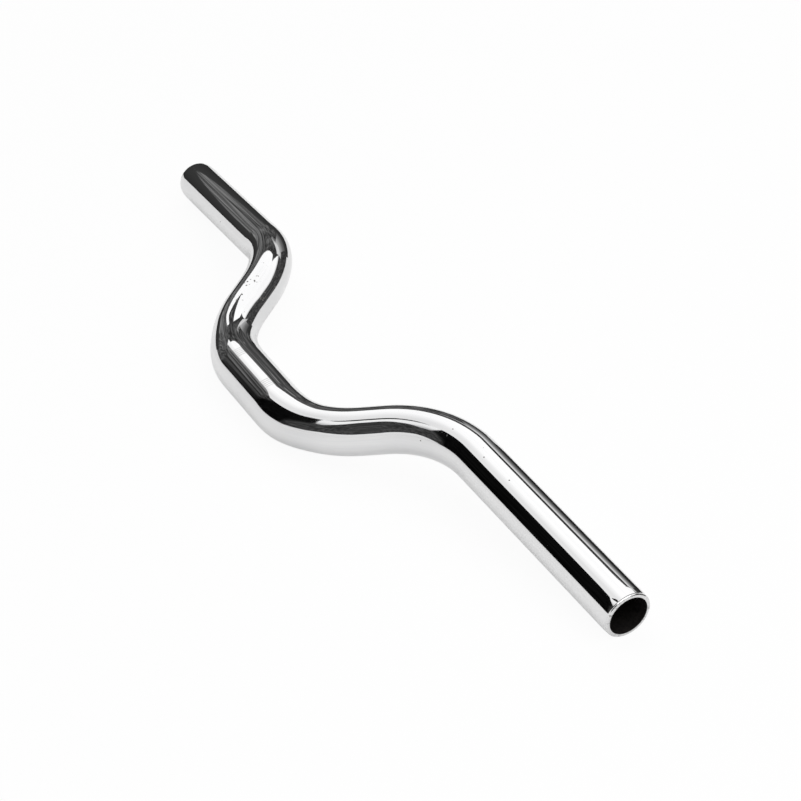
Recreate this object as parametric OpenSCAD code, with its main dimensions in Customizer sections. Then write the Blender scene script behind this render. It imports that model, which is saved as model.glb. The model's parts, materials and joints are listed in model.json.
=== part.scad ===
// Low riser handlebar for a bicycle: one bent steel tube, open at both ends.
// It lies on a table, on its clamp section and on the tips of its swept grips.
// X runs along the clamp section, Y is the way the bar rises, and Z is up from the table.
// The origin is the middle of the clamp section.

/* [Clamp section] */
// Outer diameter where the stem holds the bar
clamp_d = 25.4; // [24:0.1:28]
// Length of the straight clamp section
clamp_len = 40; // [20:1:80]

/* [Grips] */
// Outer diameter of the grips and of the slopes beside them
grip_d = 22.2; // [19:0.1:23.8]
// Straight length of each grip, from the outer bend to the end
grip_len = 115; // [60:1:200]
// Angle by which the grips point up
upsweep = 2.3; // [0:0.1:5]
// Angle by which the grips point back to the rider
backsweep = 7.6; // [0:0.1:12]

/* [Tube wall] */
// Thickness of the wall
wall = 2; // [1.5:0.1:3]
// Rounding of the outer edge of each end
end_round = 0.9; // [0.2:0.1:1]
// Chamfer on the inner edge of each end
mouth_chamfer = 0.3; // [0.1:0.1:0.4]

/* [Bends] */
// Angle of the inner bends, which is how steeply the slopes climb from the clamp section
slope_angle = 51; // [30:1:65]
// Straight length of each slope, between its two bends
slope_len = 12; // [4:1:80]
// Radius of the inner bends, to the middle of the tube
inner_bend_r = 60; // [40:1:90]
// Radius of the outer bends, to the middle of the tube
outer_bend_r = 60; // [40:1:90]
// Share of an inner bend over which the tube narrows to the grip's diameter
taper_share = 0.7; // [0.3:0.05:1]

/* [Smoothness] */
// Flat sides round the bends
bend_sides = 32; // [24:4:48]
// Steps along each bend
bend_steps = 10; // [6:1:16]

/* [Hidden] */
$fn = 96;

// The flats of a bend stand this far out from the straights that it runs into
seam_step = 0.01;
// Beyond each end, a bend narrows by a depth over a length, to end inside the straight's wall or bore
nose_depth = 1;
nose_len = 0.5;
// How far the bore's own solid runs out past the mouth
past_mouth = 1;

clamp_r = clamp_d / 2;
grip_r = grip_d / 2;

// Directions along the tube on the +X side, with the bar's plane laid flat
clamp_dir = [1, 0, 0];
slope_dir = [cos(slope_angle), sin(slope_angle), 0];
grip_dir = [cos(upsweep) * cos(backsweep), sin(upsweep) * cos(backsweep), -sin(backsweep)];

// The axes that the bends turn about, and the angle of the outer bend
inner_axis = [0, 0, 1];
outer_axis = cross(slope_dir, grip_dir) / norm(cross(slope_dir, grip_dir));
outer_angle = acos(slope_dir * grip_dir);

// From each bend's centre to the tube where the bend begins
inner_arm = -inner_bend_r * cross(inner_axis, clamp_dir);
outer_arm = -outer_bend_r * cross(outer_axis, slope_dir);

// The middle of the tube at the bends' ends, and of the end face
clamp_end = clamp_len / 2 * clamp_dir;
inner_centre = clamp_end - inner_arm;
slope_end = inner_centre + turned(inner_arm, inner_axis, slope_angle) + slope_len * slope_dir;
outer_centre = slope_end - outer_arm;
grip_start = outer_centre + turned(outer_arm, outer_axis, outer_angle);
grip_end = grip_start + grip_len * grip_dir;

rest_tilt = resting_tilt(-20, 50, 40);

// A vector turned by an angle about a unit axis
function turned(v, axis, angle) =
    cos(angle) * v + sin(angle) * cross(axis, v) + (1 - cos(angle)) * (axis * v) * axis;

// Height of the lowest point of an end's rounded edge, once the bar is tilted about X
function end_bottom(tilt) =
    let (
        up = [0, sin(tilt), cos(tilt)],
        along = up * grip_dir,
        edge_middle = up * grip_end - end_round * along
    )
    edge_middle - (grip_r - end_round) * sqrt(1 - along * along) - end_round;

// The tilt between low and high at which the ends touch the table that the clamp section lies on
function resting_tilt(low, high, halvings) =
    let (middle = (low + high) / 2)
    halvings == 0 ? middle
    : end_bottom(middle) < -clamp_r ? resting_tilt(middle, high, halvings - 1)
    : resting_tilt(low, middle, halvings - 1);

// Points round the tube at a place on its middle line, from two directions across it.
// The flats, and not the corners, lie at the radius.
function ring(place, across, r) = [
    for (side = [0 : bend_sides - 1])
        let (round = 360 * side / bend_sides, corner_r = (r + seam_step) / cos(180 / bend_sides))
        place + corner_r * (cos(round) * across[0] + sin(round) * across[1])
];

// Both directions across the tube, after a turn
function turned_both(across, axis, angle) = [for (v = across) turned(v, axis, angle)];

// Radius of the tube at a share of the inner bend's length
function tapered(r_clamp, r_grip, share) = r_clamp + (r_grip - r_clamp) * min(share / taper_share, 1);

// Rings from the clamp section's end, round the inner bend, along the slope and round the outer bend
function bend_rings(r_clamp, r_grip) =
    let (
        at_clamp = [[0, 1, 0], [0, 0, 1]],
        at_slope = turned_both(at_clamp, inner_axis, slope_angle),
        at_grip = turned_both(at_slope, outer_axis, outer_angle)
    )
    [
        ring(clamp_end - nose_len * clamp_dir, at_clamp, r_clamp - nose_depth),
        for (step = [0 : bend_steps])
            let (share = step / bend_steps, angle = share * slope_angle)
            ring(
                inner_centre + turned(inner_arm, inner_axis, angle),
                turned_both(at_clamp, inner_axis, angle),
                tapered(r_clamp, r_grip, share)
            ),
        for (step = [0 : bend_steps])
            let (angle = step / bend_steps * outer_angle)
            ring(
                outer_centre + turned(outer_arm, outer_axis, angle),
                turned_both(at_slope, outer_axis, angle),
                r_grip
            ),
        ring(grip_start + nose_len * grip_dir, at_grip, r_grip - nose_depth)
    ];

// A closed skin over rings that follow one another
module skin(rings) {
    last = len(rings) - 1;
    walls = [
        for (i = [0 : last - 1], side = [0 : bend_sides - 1])
            let (
                a = i * bend_sides + side,
                b = i * bend_sides + (side + 1) % bend_sides,
                c = a + bend_sides,
                d = b + bend_sides
            )
            each [[a, d, b], [a, c, d]]
    ];
    start_cap = [for (side = [0 : bend_sides - 1]) side];
    end_cap = [for (side = [bend_sides - 1 : -1 : 0]) last * bend_sides + side];
    polyhedron(points = [for (r = rings) each r], faces = concat(walls, [start_cap, end_cap]));
}

// Stands its child, which points along Z, at the start of the grip
module at_grip() {
    translate(grip_start) rotate([0, acos(grip_dir.z), atan2(grip_dir.y, grip_dir.x)]) children();
}

// The tube's whole run as a solid bar, with the child as each grip
module run(r_clamp, r_grip) {
    rotate([0, 90, 0]) cylinder(h = clamp_len, r = r_clamp, center = true);
    for (side = [0, 1])
        mirror([side, 0, 0]) {
            skin(bend_rings(r_clamp, r_grip));
            at_grip() children();
        }
}

// The outside of a grip, with the edge of its end rounded
module grip_outside() {
    rotate_extrude() {
        square([grip_r - end_round, grip_len]);
        square([grip_r, grip_len - end_round]);
        translate([grip_r - end_round, grip_len - end_round]) circle(r = end_round);
    }
}

// The inside of a grip, with the chamfer of its mouth
module grip_bore() {
    bore_r = grip_r - wall;
    cone_h = mouth_chamfer + past_mouth;
    cylinder(h = grip_len + past_mouth, r = bore_r);
    translate([0, 0, grip_len - mouth_chamfer]) cylinder(h = cone_h, r1 = bore_r, r2 = bore_r + cone_h);
}

module handlebar() {
    color("silver")
        rotate([rest_tilt, 0, 0])
            difference() {
                run(clamp_r, grip_r) grip_outside();
                run(clamp_r - wall, grip_r - wall) grip_bore();
            }
}

handlebar();
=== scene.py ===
# %% [markdown]
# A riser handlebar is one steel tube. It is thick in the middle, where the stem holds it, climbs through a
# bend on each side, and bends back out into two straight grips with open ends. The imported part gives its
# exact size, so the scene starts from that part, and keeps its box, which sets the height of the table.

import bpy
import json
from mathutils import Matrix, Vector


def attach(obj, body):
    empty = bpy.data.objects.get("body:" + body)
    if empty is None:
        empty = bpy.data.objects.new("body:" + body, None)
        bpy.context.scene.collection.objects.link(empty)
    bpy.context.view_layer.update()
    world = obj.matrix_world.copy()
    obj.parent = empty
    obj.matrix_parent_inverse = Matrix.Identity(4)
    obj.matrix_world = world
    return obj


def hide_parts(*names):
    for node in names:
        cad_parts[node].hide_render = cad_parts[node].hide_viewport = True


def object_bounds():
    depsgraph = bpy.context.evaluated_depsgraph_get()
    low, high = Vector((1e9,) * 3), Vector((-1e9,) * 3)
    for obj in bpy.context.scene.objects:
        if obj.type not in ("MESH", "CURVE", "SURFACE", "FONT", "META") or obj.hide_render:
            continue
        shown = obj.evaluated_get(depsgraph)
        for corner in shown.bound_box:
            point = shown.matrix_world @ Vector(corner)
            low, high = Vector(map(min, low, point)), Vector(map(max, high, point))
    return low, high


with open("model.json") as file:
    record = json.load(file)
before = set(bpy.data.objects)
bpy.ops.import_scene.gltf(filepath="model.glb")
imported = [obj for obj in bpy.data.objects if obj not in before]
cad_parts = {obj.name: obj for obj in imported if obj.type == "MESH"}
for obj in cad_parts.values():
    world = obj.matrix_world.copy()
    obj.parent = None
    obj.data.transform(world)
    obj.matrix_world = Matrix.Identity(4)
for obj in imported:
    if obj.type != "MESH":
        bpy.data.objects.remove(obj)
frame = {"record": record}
cad_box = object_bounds()
print("The packed part fills", [[round(v, 4) for v in corner] for corner in cad_box])

# %% [markdown]
# The camera comes first, because every later look is judged through it. A long, thin object is shot with a
# long lens from about a metre away, so that its near end doesn't swell. The lens, the place, the turn and a
# shift of about half a pixel were fitted to the outline of the bar in the photograph.

# %% Camera
import bpy
from mathutils import Matrix, Vector

scene = bpy.context.scene
CAMERA_PLACE = Vector((0.850967, -0.346385, 0.528608))
CAMERA_RIGHT = Vector((0.442890, 0.896576, 0.0))
CAMERA_UP = Vector((-0.452658, 0.223604, 0.863193))
SENSOR_WIDTH, FOCAL_LENGTH = 36.0, 100.583
LENS_SHIFT = 0.6 / 801

lens = bpy.data.cameras.new("camera")
lens.sensor_width, lens.lens = SENSOR_WIDTH, FOCAL_LENGTH
lens.clip_start, lens.clip_end = 0.01, 50.0
lens.shift_x, lens.shift_y = -LENS_SHIFT, LENS_SHIFT
camera = bpy.data.objects.new("camera", lens)
turn = Matrix((CAMERA_RIGHT, CAMERA_UP, CAMERA_RIGHT.cross(CAMERA_UP))).transposed()
camera.matrix_world = Matrix.Translation(CAMERA_PLACE) @ turn.to_4x4()
scene.collection.objects.link(camera)
scene.camera = camera
print("The camera stands", round(CAMERA_PLACE.length, 2), "m from the middle of the bar")

# %% [markdown]
# The diameters of the tube are the ones that stems and grips are made for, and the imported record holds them
# as mounts. The bends are no mounts, so their sizes are repeated here from the part's source, in metres and
# radians. The taper, from the clamp's thickness to the grips', is given as shares of an inner bend: the
# source narrows evenly, and this tube eases in and out of the same narrowing.

# %% Sizes of the tube
from math import cos, pi, radians, sin

mounts = {mount["name"]: mount["dims"] for mount in frame["record"]["mounts"]}
CLAMP_R = mounts["stem_clamp"]["r_mm"] / 1000
GRIP_R = mounts["grip_right"]["r_mm"] / 1000
WALL = GRIP_R - mounts["bore_right"]["r_mm"] / 1000
CLAMP_LEN, SLOPE_LEN, GRIP_LEN = 0.040, 0.012, 0.115
BEND_R = 0.060
TAPER_FROM, TAPER_TO = 0.05, 0.62
SLOPE_ANGLE, UPSWEEP, BACKSWEEP = radians(51), radians(2.3), radians(7.6)
REST_TILT = radians(16.18246)
END_ROUND, MOUTH_CHAMFER = 0.0009, 0.0003
print(f"The bar is {2000 * CLAMP_R:.1f} mm thick at the clamp, {2000 * GRIP_R:.1f} mm at the grips")

# %% [markdown]
# The real bar starts as a straight steel tube whose ends are drawn thinner, and a machine then bends it
# round formers. The mesh is made the same way: a ring of edges starts in the middle of the clamp section,
# is extruded along the straights and spun round the bends. A curve with a round bevel would make a tube
# too, but its rings turn about the curve as they please, and these stay in line.
#
# Each point also keeps where it lay on the straight tube, before the bends: how far along, and how far
# across in two directions. Blender copies that number with each new ring, and the finish is painted in it,
# so marks from drawing and polishing follow the tube round its bends. A second number, for the bore, is
# made now too, because a new layer upsets every point that a script already holds.

# %% Start with a ring
import bmesh

SIDES = 128
bar = bmesh.new()
straight = bar.verts.layers.float_vector.new("straight")
bore = bar.verts.layers.float.new("bore")
bmesh.ops.create_circle(bar, segments=SIDES, radius=CLAMP_R, matrix=Matrix.Rotation(pi / 2, 4, "Y"))
for v in bar.verts:
    v[straight] = v.co
ring = bar.edges[:]
print("The first ring has", len(ring), "edges")

# %% [markdown]
# On a straight, the ring is extruded in steps. An operator hands back everything that it made, so only()
# picks out the edges, which are the next ring, or the points, which are moved.

# %% Carry the ring along a straight
def only(kind, made):
    """The edges, or the points, among what an operator made."""
    return [part for part in made if isinstance(part, kind)]


def step_along(points, distance):
    """Note that a new ring lies further along the straight tube."""
    for v in points:
        v[straight] = v[straight] + Vector((distance, 0, 0))


def go_straight(ring, direction, length, steps):
    """Extrude the ring along a straight."""
    for _ in range(steps):
        made = bmesh.ops.extrude_edge_only(bar, edges=ring)["geom"]
        points = only(bmesh.types.BMVert, made)
        bmesh.ops.translate(bar, verts=points, vec=direction * length / steps)
        step_along(points, length / steps)
        ring = only(bmesh.types.BMEdge, made)
    return ring


print("A ring can be carried straight on")

# %% [markdown]
# At a bend, the ring is spun about the bend's axis, one small turn at a time. In the inner bends it also
# shrinks a little at each turn, which makes the taper. A smooth step is used for that, because chrome shows
# the slightest kink in a surface as a break in what it reflects.

# %% Carry the ring round a bend
def shrink_ring(points, radius):
    """Scale a ring of points about its own middle, to the radius that the tube has there."""
    middle = sum((v.co for v in points), Vector()) / len(points)
    share = radius / (points[0].co - middle).length
    bmesh.ops.scale(bar, verts=points, vec=(share, share, share), space=Matrix.Translation(-middle))


def go_round(ring, centre, axis, angle, steps, radius_at):
    """Spin the ring round a bend. radius_at gives the tube's radius at each share of the bend."""
    for step in range(steps):
        made = bmesh.ops.spin(bar, geom=ring, cent=centre, axis=axis, angle=angle / steps, steps=1)["geom_last"]
        ring, points = only(bmesh.types.BMEdge, made), only(bmesh.types.BMVert, made)
        shrink_ring(points, radius_at((step + 1) / steps))
        step_along(points, BEND_R * angle / steps)
    return ring


def narrowing(share):
    """The tube's radius along an inner bend, where it eases down from the clamp's to the grip's."""
    t = min(max((share - TAPER_FROM) / (TAPER_TO - TAPER_FROM), 0.0), 1.0)
    return CLAMP_R + (GRIP_R - CLAMP_R) * t * t * (3 - 2 * t)


print(f"Halfway round an inner bend the tube is {2000 * narrowing(0.5):.1f} mm thick")

# %% [markdown]
# The slope climbs in the plane of the inner bend. The outer bend turns about an axis that is square to both
# the slope and the grip, because the grips also sweep back out of that plane. The last few millimetres
# before the mouth get ten rings close together, which are narrowed later as a polishing wheel does it.

# %% Sweep the right half
DUB_LEN, DUB_STEPS = 0.0055, 10
CLAMP_STEPS, SLOPE_STEPS, GRIP_STEPS = 6, 4, 14
INNER_STEPS, OUTER_STEPS = 40, 36

clamp_dir = Vector((1, 0, 0))
slope_dir = Vector((cos(SLOPE_ANGLE), sin(SLOPE_ANGLE), 0))
grip_dir = Vector((cos(UPSWEEP) * cos(BACKSWEEP), sin(UPSWEEP) * cos(BACKSWEEP), -sin(BACKSWEEP)))
outer_axis = slope_dir.cross(grip_dir).normalized()

inner_centre = Vector((CLAMP_LEN / 2, BEND_R, 0))
slope_start = inner_centre + BEND_R * Vector((sin(SLOPE_ANGLE), -cos(SLOPE_ANGLE), 0))
outer_centre = slope_start + SLOPE_LEN * slope_dir + BEND_R * outer_axis.cross(slope_dir)

ring = go_straight(ring, clamp_dir, CLAMP_LEN / 2, CLAMP_STEPS)
ring = go_round(ring, inner_centre, (0, 0, 1), SLOPE_ANGLE, INNER_STEPS, narrowing)
ring = go_straight(ring, slope_dir, SLOPE_LEN, SLOPE_STEPS)
outer_angle = slope_dir.angle(grip_dir)
ring = go_round(ring, outer_centre, outer_axis, outer_angle, OUTER_STEPS, lambda share: GRIP_R)
ring = go_straight(ring, grip_dir, GRIP_LEN - DUB_LEN, GRIP_STEPS)
ring = go_straight(ring, grip_dir, DUB_LEN, DUB_STEPS)
HALF_LEN = ring[0].verts[0][straight].x
print(f"Half of the tube is {1000 * HALF_LEN:.1f} mm long, in {len(bar.faces)} faces")

# %% [markdown]
# The left half is the mirror image of the right one. The bar then lies down: it rests on its clamp section
# and on the tips of its grips, so it is tilted about the clamp until they touch the table. A mirror turns
# faces inside out, so the normals are worked out again once the halves are one.

# %% Mirror it and lay it down
bmesh.ops.mirror(bar, geom=bar.verts[:] + bar.edges[:] + bar.faces[:], axis="X", merge_dist=1e-6)
bmesh.ops.remove_doubles(bar, verts=bar.verts, dist=1e-6)
for v in bar.verts:
    if v.co.x < 0:
        v[straight] = v[straight] * Vector((-1, 1, 1))
bmesh.ops.rotate(bar, verts=bar.verts, matrix=Matrix.Rotation(REST_TILT, 3, "X"))
bmesh.ops.recalc_face_normals(bar, faces=bar.faces)
print("Both halves have", len(bar.faces), "faces and", sum(e.is_boundary for e in bar.edges), "open edges")

# %% [markdown]
# The wall is two millimetres thick. It is added once the faces point outwards, so that it grows inwards and
# the outside keeps its size. The new points are those of the bore, and they are marked, because the plating
# stops at the mouth and leaves the bore bare.

# %% Give it a wall
outer_points = set(bar.verts)
bmesh.ops.solidify(bar, geom=bar.faces[:], thickness=WALL)
for v in bar.verts:
    v[bore] = 0.0 if v in outer_points else 1.0
print("The wall makes", len(bar.faces), "faces and", sum(not e.is_manifold for e in bar.edges), "loose edges")

# %% [markdown]
# A polishing wheel is soft, so at the end of a tube it leans over the edge and takes off a little more than
# elsewhere. Makers call that dubbing. It is what bends the dark stripes of the grip aside just before the
# mouth. Only the outer rings are narrowed, after the wall is there, so the bore stays straight.

# %% Dub the ends
DUB_DEPTH = 0.0003
SAME_PLACE = 1e-5


def outer_ring(side, depth):
    """The outer points at a depth from the mouth, on the left side (-1) or the right one (1)."""
    place = HALF_LEN - depth
    return [v for v in bar.verts if v[bore] == 0 and abs(side * v[straight].x - place) < SAME_PLACE]


for step in range(1, DUB_STEPS + 1):
    share = step / DUB_STEPS
    for side in (-1, 1):
        shrink_ring(outer_ring(side, DUB_LEN * (1 - share)), GRIP_R - DUB_DEPTH * share ** 2)
print("The ends are", 1000 * DUB_DEPTH, "mm slimmer all round")

# %% [markdown]
# A saw leaves a sharp edge, which is taken off before plating so that the metal takes. The outer edge of
# each mouth gets a round of almost a millimetre, and the inner edge only loses its burr.

# %% Round the mouths
def mouth_edges(inside):
    """The edges round both mouths, on the outside or in the bore."""
    at_mouth = {v for v in bar.verts if HALF_LEN - abs(v[straight].x) < SAME_PLACE and v[bore] == inside}
    return [e for e in bar.edges if at_mouth.issuperset(e.verts)]


for inside, width, segments in ((0.0, END_ROUND, 8), (1.0, MOUTH_CHAMFER, 3)):
    edges = mouth_edges(inside)
    bmesh.ops.bevel(bar, geom=edges, offset=width, affect="EDGES", segments=segments, profile=0.5, material=-1)
    print("Rounded", len(edges), "edges by", 1000 * width, "mm")

# %% [markdown]
# The tube is now whole, so it becomes an object. It rides on the part's one body, and takes the place of
# the plain solid in the picture.

# %% Make it an object
tube_mesh = bpy.data.meshes.new("handlebar_tube")
bar.to_mesh(tube_mesh)
bar.free()
tube_mesh.shade_smooth()
tube = bpy.data.objects.new("handlebar_tube", tube_mesh)
scene.collection.objects.link(tube)
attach(tube, "root")
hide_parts("handlebar")
print("The tube has", len(tube_mesh.polygons), "faces")

# %% [markdown]
# A finish is a recipe in numbers: how dark, how rough and how raised each point is. The recipes below are
# written as sums. A Value wraps the socket of a shader node, and adding, taking away or multiplying two of
# them adds the Math node that does it.

# %% Shader sums
class Value:
    """A node's output that can be written in sums."""

    def __init__(self, finish, socket):
        self.finish, self.socket = finish, socket

    def maths(self, operation, *terms):
        return self.finish.node("ShaderNodeMath", {"operation": operation}, dict(enumerate(terms)))

    def __add__(self, other):
        return self.maths("ADD", self, other)

    def __sub__(self, other):
        return self.maths("SUBTRACT", self, other)

    def __rsub__(self, other):
        return self.maths("SUBTRACT", other, self)

    def __mul__(self, other):
        return self.maths("MULTIPLY", self, other)

    def __abs__(self):
        return self.maths("ABSOLUTE", self)

    __radd__, __rmul__ = __add__, __mul__

    def or_more(self, other):
        """The larger of two values."""
        return self.maths("MAXIMUM", self, other)

    def between(self, low, high):
        """0 below low, 1 above high, and an easy climb from one to the other. Low may be the larger."""
        settings = {"interpolation_type": "SMOOTHSTEP"}
        inputs = {"Value": self, "From Min": low, "From Max": high}
        return self.finish.node("ShaderNodeMapRange", settings, inputs)


print("The sums are ready")

# %% [markdown]
# Every other node comes from one method, node, which takes a node's type, its settings, and the values or
# links of its sockets. A few short methods name the nodes that the recipes use most.

# %% A finish and its nodes
class Finish:
    """A material, or another shader tree, and the way to add nodes to it."""

    def __init__(self, owner):
        owner.use_nodes = True
        self.tree = owner.node_tree
        self.tree.nodes.clear()

    def node(self, kind, settings=(), inputs=(), output=0):
        made = self.tree.nodes.new(kind)
        for name, setting in dict(settings).items():
            setattr(made, name, setting)
        for name, value in dict(inputs).items():
            if isinstance(value, Value):
                self.tree.links.new(value.socket, made.inputs[name])
            else:
                made.inputs[name].default_value = value
        return Value(self, made.outputs[output]) if made.outputs else None

    def blend(self, share, first, second):
        """The first colour where share is 0, and the second where it is 1."""
        named = {"Factor": share, 6: first, 7: second}
        return self.node("ShaderNodeMix", {"data_type": "RGBA"}, named, 2)

    def axes(self, place):
        """The x, y and z of a place."""
        return [self.node("ShaderNodeSeparateXYZ", {}, {"Vector": place}, axis) for axis in range(3)]

    def place_on_piece(self):
        """Where a point lies on its own piece, in metres."""
        return self.node("ShaderNodeTexCoord", {}, {}, "Object")

    def noise(self, place, scale, detail=2.0, roughness=0.5):
        inputs = {"Vector": place, "Scale": scale, "Detail": detail, "Roughness": roughness}
        return self.node("ShaderNodeTexNoise", {}, inputs)

    def long_noise(self, place, scale, detail, roughness=0.5):
        """Noise with a scale of its own along each axis, so that it makes streaks."""
        drawn = self.node("ShaderNodeMapping", {"vector_type": "POINT"}, {"Vector": place, "Scale": scale})
        return self.noise(drawn, 1.0, detail, roughness)

    def glow(self, brightness):
        """Shine with a grey that changes over the piece."""
        light = self.node("ShaderNodeEmission", {}, {"Color": brightness, "Strength": 1.0})
        self.node("ShaderNodeOutputMaterial", {}, {"Surface": light})


print("Finishes can be mixed")

# %% [markdown]
# Chrome is almost a mirror, and what it shows is its surroundings. Up close it is not perfect: a cloth
# leaves faint hazy patches, and the polishing belt leaves fine lines along the tube. Here and there a
# pinhole in the plating shows darker steel, and on one slope the plating is thin enough for a cluster of
# pits. Voronoi cells make both: a dot in the middle of each cell, of which only some are kept.

# %% Haze, belt lines and pits
chrome = bpy.data.materials.new("chrome_plate")
steel = Finish(chrome)
place = steel.node("ShaderNodeAttribute", {"attribute_name": "straight"}, {}, 1)
inside = steel.node("ShaderNodeAttribute", {"attribute_name": "bore"}, {}, 2)
along, across, up = steel.axes(place)
from_middle = abs(along)

haze = steel.noise(place, 30.0, 3.0).between(0.45, 0.75)
belt_lines = steel.long_noise(place, (14.0, 900.0, 900.0), 3.0)

PINHOLES, PITS = {"Vector": place, "Scale": 210.0}, {"Vector": place, "Scale": 520.0}
pinhole_distance = steel.node("ShaderNodeTexVoronoi", {}, PINHOLES, "Distance")
pinhole_colour = steel.node("ShaderNodeTexVoronoi", {}, PINHOLES, "Color")
pinhole_choice = steel.node("ShaderNodeSeparateColor", {}, {"Color": pinhole_colour})
pinholes = pinhole_distance.between(0.11, 0.05) * pinhole_choice.between(0.90, 0.92)

thin_plating = along.between(-0.060, -0.068) * along.between(-0.100, -0.090) * up.between(0.002, 0.004)
pit_distance = steel.node("ShaderNodeTexVoronoi", {}, PITS, "Distance")
pits = pit_distance.between(0.36, 0.22) * thin_plating * steel.noise(place, 160.0).between(0.52, 0.58)
specks = pinholes.or_more(pits)
print("The thin plating lies 60 to 100 mm left of the middle")

# %% [markdown]
# The mouth shows two more things. Its rim is handled and knocked, so the plating there is duller and has
# small chips. And the plating stops at the inner edge: past it the bore is bare, scaly steel, painted nearly
# black as painted shade inside the tube.

# %% Rim and bore
depth = HALF_LEN - from_middle
rim = depth.between(0.0005, 0.0001)
chips = steel.noise(place, 900.0, 3.0, 0.7).between(0.58, 0.66) * rim
# Where the bore is: bare steel, whose near-black colour below is painted shade inside the tube.
bare_and_painted_shade = inside.between(0.9, 0.99)
scale_patches = steel.noise(place, 260.0, 5.0, 0.65).between(0.4, 0.65)
print("The plating ends where the bore begins")

# %% [markdown]
# A rider centres the bar in the stem by two short rows of ticks, one at each end of the clamp section. They
# are etched, so they are a little duller and greyer than the chrome round them. A sawtooth that runs back
# and forth makes a row, and four limits keep it short and on the upper side.

# %% Centring ticks
HALF_PITCH, TICK_SIDE = 0.00075, 0.0024
tick_row = from_middle.maths("PINGPONG", from_middle, HALF_PITCH).between(0.00025, 0.00012)
tick_zone = from_middle.between(0.0128, 0.0130) * from_middle.between(0.0197, 0.0195)
ticks = tick_row * tick_zone * abs(across).between(TICK_SIDE, TICK_SIDE - 0.0002) * up.between(0.0, 0.001)
print("The ticks are", 2000 * HALF_PITCH, "mm apart")

# %% [markdown]
# Now the marks are put together. Haze and belt lines change the grey of the chrome by a few hundredths,
# pits and chips make it dark, and the bare bore is painted nearly black, as painted shade inside the tube.
# The relief is finer still: the tube is a few hundredths of a millimetre wavy where the formers held it, and
# the belt's lines are a thousandth deep.

# %% Chrome, and bare steel with painted shade
CLEAR_CHROME, HAZY_CHROME = (0.79, 0.79, 0.79, 1), (0.73, 0.73, 0.735, 1)
LINED_CHROME, WORN_CHROME = (0.76, 0.76, 0.765, 1), (0.6, 0.6, 0.6, 1)
ETCHED_CHROME, STEEL_IN_PITS = (0.42, 0.42, 0.42, 1), (0.13, 0.12, 0.11, 1)
# The bore's colours are bare, scaly steel, painted nearly black as painted shade inside the tube.
BARE_STEEL_PAINTED_SHADE, SCALED_STEEL_PAINTED_SHADE = (0.014, 0.012, 0.011, 1), (0.006, 0.005, 0.005, 1)
WAVE_HEIGHT, LINE_DEPTH, SCALE_HEIGHT, CHIP_DEPTH = 0.00006, 0.0000014, 0.00008, 0.00006

plated_colour = steel.blend(haze, CLEAR_CHROME, HAZY_CHROME)
plated_colour = steel.blend(belt_lines.between(0.35, 0.7), plated_colour, LINED_CHROME)
plated_colour = steel.blend(rim * 0.3, plated_colour, WORN_CHROME)
plated_colour = steel.blend(ticks * 0.8, plated_colour, ETCHED_CHROME)
plated_colour = steel.blend(specks.or_more(chips * 0.6), plated_colour, STEEL_IN_PITS)
# Painted shade: the bore is coloured nearly black for the shade inside the tube, darker in scale patches.
bore_colour_painted_shade = steel.blend(scale_patches, BARE_STEEL_PAINTED_SHADE, SCALED_STEEL_PAINTED_SHADE)

waves = steel.noise(place, 55.0, 1.0) * from_middle.between(0.015, 0.03) * from_middle.between(0.15, 0.12)
relief = waves * WAVE_HEIGHT + belt_lines * LINE_DEPTH
relief = relief + scale_patches * bare_and_painted_shade * SCALE_HEIGHT - chips * CHIP_DEPTH
plated_roughness = 0.03 + haze * 0.03 + belt_lines * 0.015 + specks * 0.3 + rim * 0.12 + ticks * 0.25
inputs = {
    "Base Color": steel.blend(bare_and_painted_shade, plated_colour, bore_colour_painted_shade),
    "Metallic": 1.0 - bare_and_painted_shade * 0.6 - specks * 0.4,
    "Roughness": plated_roughness * (1.0 - bare_and_painted_shade) + bare_and_painted_shade * 0.55,
    "Normal": steel.node("ShaderNodeBump", {}, {"Strength": 1.0, "Distance": 1.0, "Height": relief}),
}
shader = steel.node("ShaderNodeBsdfPrincipled", {}, inputs)
steel.node("ShaderNodeOutputMaterial", {}, {"Surface": shader})
tube_mesh.materials.append(chrome)
print("The chrome has", len(steel.tree.nodes), "nodes")

# %% [markdown]
# Chrome has no look of its own, so its studio is built as carefully as the bar. The table is white paper.
# A camera ray and a shiny ray see it mostly as plain white, and the rest of its colour comes from the light
# that falls on it, so it keeps a soft shadow under the bar. It lies a hair below the bar, so that the two
# don't touch.

# %% White table
def stage_piece(name, shape, shown=False, lights=True):
    """Finish a stage mesh. The camera sees it if shown, and the table takes light and shadow if it lights."""
    piece_mesh = bpy.data.meshes.new(name)
    shape.to_mesh(piece_mesh)
    shape.free()
    piece = bpy.data.objects.new(name, piece_mesh)
    scene.collection.objects.link(piece)
    piece.visible_camera = shown
    piece.visible_shadow = piece.visible_diffuse = lights
    piece_mesh.materials.append(bpy.data.materials.new(name))
    return Finish(piece_mesh.materials[0])


TABLE_Z = cad_box[0][2] - 0.00002
TABLE_HALF = 8.0
table_shape = bmesh.new()
on_floor = Matrix.Translation((0, 0, TABLE_Z))
bmesh.ops.create_grid(table_shape, x_segments=1, y_segments=1, size=TABLE_HALF, matrix=on_floor)
paper = stage_piece("white_table", table_shape, shown=True)

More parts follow.
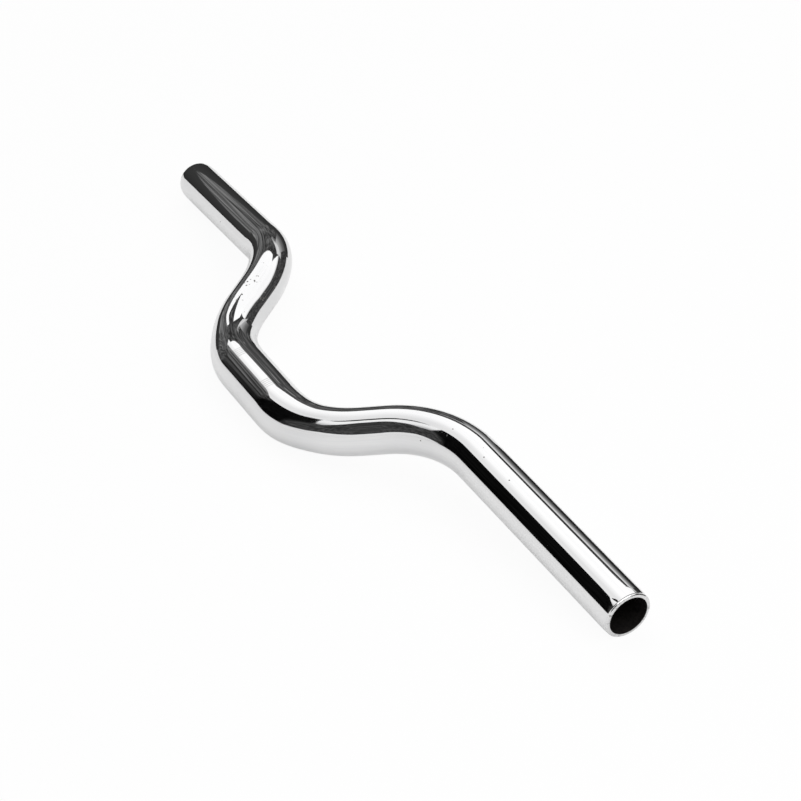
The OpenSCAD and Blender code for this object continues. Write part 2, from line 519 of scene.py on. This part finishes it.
plain = 0.0
for ray, share in (("Is Camera Ray", 0.94), ("Is Glossy Ray", 0.35), ("Is Transmission Ray", 0.05)):
    plain = paper.node("ShaderNodeLightPath", {}, {}, ray) * share + plain
lit = paper.node("ShaderNodeBsdfDiffuse", {}, {"Color": (0.93, 0.93, 0.93, 1)})
white = paper.node("ShaderNodeEmission", {}, {"Color": (1, 1, 1, 1), "Strength": 1.0})
sheet = paper.node("ShaderNodeMixShader", {}, {0: plain, 1: lit, 2: white})
paper.node("ShaderNodeOutputMaterial", {}, {"Surface": sheet})
print("The table lies at", round(1000 * TABLE_Z, 2), "mm")

# %% [markdown]
# Above the table hangs a wide soft light. A photographer shapes such a light with black boards until its
# edges, seen in the chrome, run where they should, and so does this scene: the light is made of flat panels
# side by side, each a rectangle with corners cut off. The camera never sees them, but the bar does.

# %% Panels of the soft light
LIGHT_Z = 1.5


def cut_off(shape, point, outward):
    """Cut a flat shape along a line through a point, and throw away what lies outward of it."""
    everything = shape.verts[:] + shape.edges[:] + shape.faces[:]
    bmesh.ops.bisect_plane(shape, geom=everything, plane_co=point, plane_no=outward, clear_outer=True)


def soft_light(name, x_range, y_range, cuts, brightness):
    """A panel overhead. Each cut is a point on a line, and the way out. brightness takes x, y and streaks."""
    panel = bmesh.new()
    middle = Vector((sum(x_range) / 2, sum(y_range) / 2, LIGHT_Z))
    size = Matrix.Diagonal((x_range[1] - x_range[0], y_range[1] - y_range[0], 1, 1))
    bmesh.ops.create_grid(panel, x_segments=1, y_segments=1, size=0.5, matrix=Matrix.Translation(middle) @ size)
    for point, outward in cuts:
        cut_off(panel, (*point, 0), (*outward, 0))
    light = stage_piece("soft_light_" + name, panel)
    on_panel = light.place_on_piece()
    at_x, at_y, _ = light.axes(on_panel)
    streaks = light.long_noise(on_panel, (3.0, 3.0, 1.0), 3.0, 0.6).between(0.4, 0.6)
    light.glow(brightness(at_x, at_y, streaks))
    print("The", name, "panel spans", x_range, y_range)


print("The panels hang at", LIGHT_Z, "m")

# %% [markdown]
# The main panel makes the long white highlight on the clamp section and the grips, a shade brighter towards
# the back. The side panel lengthens it to the left, and the fill and right panels carry it on to the right
# of a slanting seam. The right panel is the brightest, because the table takes much of its light from it.

# %% The long highlight
LEFT_OF_SEAM = ((-0.62, -1.02), (0.81, -0.58))
RIGHT_OF_SEAM = ((-0.62, -1.02), (-0.81, 0.58))
LIGHT_FRONT, LIGHT_BACK, FILL_END = -1.05, 1.23, 0.45

soft_light(
    "main", (-3.5, 2.6), (LIGHT_FRONT, LIGHT_BACK),
    [((-2.12, -0.5), (-0.87, -0.5)), ((-2.15, 0.62), (-0.53, 0.65)), LEFT_OF_SEAM],
    lambda x, y, streaks: 0.98 + y.between(-0.7, 0.1) * 0.3,
)
soft_light(
    "side", (-2.85, -2.1), (-0.5, 0.7), [((-2.5, 0.40), (-0.48, 0.88))],
    lambda x, y, streaks: 1.05 + y.between(-0.5, 0.1) * 0.2,
)
soft_light(
    "fill", (-0.5, FILL_END), (-0.66, LIGHT_BACK), [RIGHT_OF_SEAM],
    lambda x, y, streaks: 1.15 + y * 0.1,
)
soft_light(
    "right", (FILL_END, 2.6), (-1.1, LIGHT_BACK), [((0.6, -0.9), (-0.7, -0.7)), RIGHT_OF_SEAM],
    lambda x, y, streaks: x.between(FILL_END, 1.2) * 0.6 + 1.5,
)

# %% [markdown]
# Behind the main panel, the back and corner panels light the upper side of the far bend and the far slope.
# The corner panel fades out in streaks, as a light does at the edge of its cloth.

# %% Lights at the back
soft_light(
    "back", (-1.8, 2.6), (LIGHT_BACK, 2.3), [((-1.03, LIGHT_BACK), (-0.92, -0.40))],
    lambda x, y, streaks: 1.25 - y.between(1.9, 2.3) * 0.5,
)
soft_light(
    "corner", (-3.8, -1.48), (1.2, 3.2),
    [((-1.5, 1.85), (0.36, -0.93)), ((-2.97, 1.60), (-0.67, -0.74))],
    lambda x, y, streaks: (
        x.between(-2.75, -2.2) * (0.8 - y.between(2.3, 3.2) * 0.3) + x.between(-2.2, -2.75) * streaks * 0.34
    ),
)

# %% [markdown]
# In front of the main panel, two narrow ones reach down the near slope's front. A gap of four centimetres is
# left behind them, and it shows as a thin dark line along that slope. Two dim ones, the strip and the
# fringe, only grey the dark beside the clamp section's highlight, so that it doesn't end in a hard edge.

# %% Lights at the front
def fading(x, y, streaks):
    """The brightness of the two panels in front, which falls off towards the viewer."""
    return 1.1 - y.between(-1.3, -1.9) * 0.5


soft_light(
    "front", (-0.7, 0.1), (LIGHT_FRONT, -0.7),
    [((-0.52, LIGHT_FRONT), (-0.616, 0.788)), ((-0.08, LIGHT_FRONT), (0.93, -0.1))], fading,
)
soft_light(
    "low", (-0.8, 0.1), (-1.95, LIGHT_FRONT),
    [((-0.08, -1.15), (0.93, -0.35)), ((-0.76, LIGHT_FRONT), (-0.9, -0.15))], fading,
)
soft_light(
    "strip", (-3.8, -2.35), (-2.4, -0.85),
    [((-2.31, -0.86), (0.749, -0.663)), ((-2.39, -0.80), (-0.749, 0.663))],
    lambda x, y, streaks: streaks * 0.14 + 0.07,
)
soft_light(
    "fringe", (-3.1, -1.7), (-1.3, -0.5),
    [((-2.9, -0.9), (-1.0, -0.5)), ((-2.12, -0.5), (0.87, 0.5))],
    lambda x, y, streaks: (0.04 + y.between(-1.3, -0.55) * 0.12) * (0.2 + streaks * 1.6),
)

# %% [markdown]
# Round it all stands a tent of dark cloth. Photographers use dark cloth round chrome, because a mirror with
# white on every side has no edges: the dark bands between the light and the table are what draws its shape.
# The cloth isn't even. It is blackest in one direction, greyer to the left, and folds and rails leave
# streaks in it, which the bar stretches along its length. Past the tent, the camera sees the white world.

# %% Dark tent
TENT_R = 4.0
tent_shape = bmesh.new()
bmesh.ops.create_uvsphere(tent_shape, u_segments=64, v_segments=32, radius=TENT_R)
cloth = stage_piece("dark_tent", tent_shape)
on_cloth = cloth.place_on_piece()
side_x, side_y = (side * (1 / TENT_R) for side in cloth.axes(on_cloth)[:2])


def towards(azimuth):
    """How far a place on the tent lies towards a compass direction, from -1 to 1."""
    return side_x * cos(radians(azimuth)) + side_y * sin(radians(azimuth))


flat = side_x * side_x + side_y * side_y
flat = flat.maths("SQRT", flat)
blackest = (towards(-127) - flat * 0.935).between(0.0, 0.03)
greyest = towards(178).between(0.75, 0.96)
folds = cloth.long_noise(on_cloth, (7.0, 7.0, 0.7), 5.0, 0.7).between(0.42, 0.64)
rails = cloth.long_noise(on_cloth, (0.8, 0.8, 8.0), 4.0, 0.7).between(0.45, 0.62)
plain_cloth = (0.02 + rails * 0.05 + folds * 0.06) * (1.0 - blackest * 0.94)
cloth.glow(plain_cloth + greyest * (0.01 + folds * 0.12 + rails * 0.07))
print("The tent is", 2 * TENT_R, "m across")

# %% [markdown]
# Upright cards stand between the bar and the tent. Two white ones stand low, before and behind the bar, and
# lift the white of the table up its sides. A grey one far behind, brighter at its top, gives the grips a
# soft stripe. A large white one on the camera's side lights the rounded edges of the mouths. Two small
# black ones stand close to the bar and draw its dark outline: they are seen only in the chrome, and take no
# light from the table.

# %% Cards
def card(name, azimuth, distance, width, low, high, brightness, cuts=(), aside=0.0, lights=True):
    """An upright card that faces the bar. brightness takes the height of a place on it."""
    shape = bmesh.new()
    size = Matrix.Diagonal((width, high - low, 1, 1))
    stand = Matrix.Translation((aside, distance, (low + high) / 2)) @ Matrix.Rotation(pi / 2, 4, "X")
    bmesh.ops.create_grid(shape, x_segments=1, y_segments=1, size=0.5, matrix=stand @ size)
    for point, outward in cuts:
        cut_off(shape, point, outward)
    bmesh.ops.rotate(shape, verts=shape.verts, matrix=Matrix.Rotation(radians(azimuth) - pi / 2, 3, "Z"))
    face = stage_piece(name, shape, lights=lights)
    face.glow(brightness(face.axes(face.place_on_piece())[2]))
    print(name, "stands", distance, "m away")


card(
    "white_card", -72, 1.2, 1.6, TABLE_Z, 0.22, lambda height: 0.9 + height * 0.2,
    cuts=[((0.30, 0, 0.22), (0.22, 0, 0.5)), ((-0.5, 0, 0.22), (-0.22, 0, 0.3))],
)
card("low_white_card", 100, 1.5, 1.1, TABLE_Z, 0.08, lambda height: 0.85 + height * 0.2)
card(
    "grey_card", 133, 3.2, 1.1, 0.05, 1.7,
    lambda height: 0.03 + height.between(0.05, 1.1) * 0.15 + height.between(0.8, 1.5) * 0.3,
)
card("camera_side_card", 5, 2.8, 2.6, 0.4, 1.45, lambda height: 1.0 + height * 0.1)
card("black_end_card", 162, 0.45, 0.7, TABLE_Z, 0.08, lambda height: 0.03 + height * 0.2, lights=False)
card(
    "black_side_card", 90, 0.16, 0.26, TABLE_Z, 0.03, lambda height: 0.02 + height * 0.2,
    aside=0.15, lights=False,
)

# %% [markdown]
# Photographers call a small black board on a wire a flag. This one hangs six centimetres from the far inner
# bend, and is the dark shape that crosses the highlight there. Its faint streaks keep it from looking flat.

# %% Small flag
FLAG_CORNERS = [
    (-0.0890, -0.0047, 0.0485),
    (-0.0940, -0.0031, 0.0408),
    (-0.0871, 0.0222, 0.0416),
    (-0.0822, 0.0206, 0.0493),
]
flag_shape = bmesh.new()
flag_corners = [flag_shape.verts.new(corner) for corner in FLAG_CORNERS]
bmesh.ops.contextual_create(flag_shape, geom=flag_corners)
print("The flag has", len(flag_shape.faces), "face")
flag = stage_piece("small_flag", flag_shape, lights=False)
flag_streaks = flag.long_noise(flag.place_on_piece(), (150.0, 150.0, 500.0), 3.0)
flag.glow(0.03 + flag_streaks.between(0.4, 0.65) * 0.12)

# %% [markdown]
# The world is plain white. The tent hides it from the bar and the table, so only the camera sees it, where
# the table ends. The plain view transform keeps that white as it is.

# %% White world
world = bpy.data.worlds.new("white_world")
scene.world = world
air = Finish(world)
background = air.node("ShaderNodeBackground", {}, {"Color": (1, 1, 1, 1), "Strength": 1.0})
air.node("ShaderNodeOutputWorld", {}, {"Surface": background})
scene.view_settings.view_transform = "Standard"
print("The background is white")

# %% [markdown]
# The box of the imported part is kept in cad_box.

# %% The end
import json
